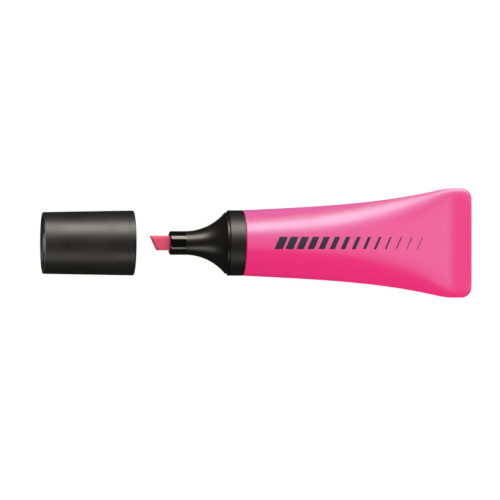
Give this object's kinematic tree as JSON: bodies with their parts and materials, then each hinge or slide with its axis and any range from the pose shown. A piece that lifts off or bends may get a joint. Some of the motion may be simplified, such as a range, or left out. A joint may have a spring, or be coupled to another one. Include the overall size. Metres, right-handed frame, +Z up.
{
  "type": "highlighter",
  "caption": "Squeeze-tube-shaped highlighter with a flat tail, a flared black nozzle, a slanted felt nib and a pull-off cap.",
  "frame": {"origin": "centre of the bounding box, on the table that the pen lies on, with the cap off in line in front of the nib", "axes": "+X towards the tail, +Y along the tail's width, +Z up; the pen's axis lies in the XZ plane, 7.38 degrees down towards the tail"},
  "size_m": [0.1474, 0.0374, 0.0302],
  "materials": {
    "pink_barrel": "satin",
    "black_section": "gloss",
    "felt_nib": "matte",
    "ink_fibre": "matte",
    "clear_film": "gloss",
    "black_cap": "satin"
  },
  "bodies": {
    "pen": {"tube_barrel": "pink_barrel", "front_section": "black_section", "chisel_nib": "felt_nib", "reservoir_core": "ink_fibre", "reservoir_film": "clear_film"},
    "cap": {"cap_shell": "black_cap", "cap_seal_cup": "black_cap"}
  },
  "joints": [
    {"name": "cap_pull", "type": "slide", "parent": "pen", "child": "cap", "axis": [0.9917, 0, -0.1285], "range_m": [-0.03, 0.03205]}
  ]
}
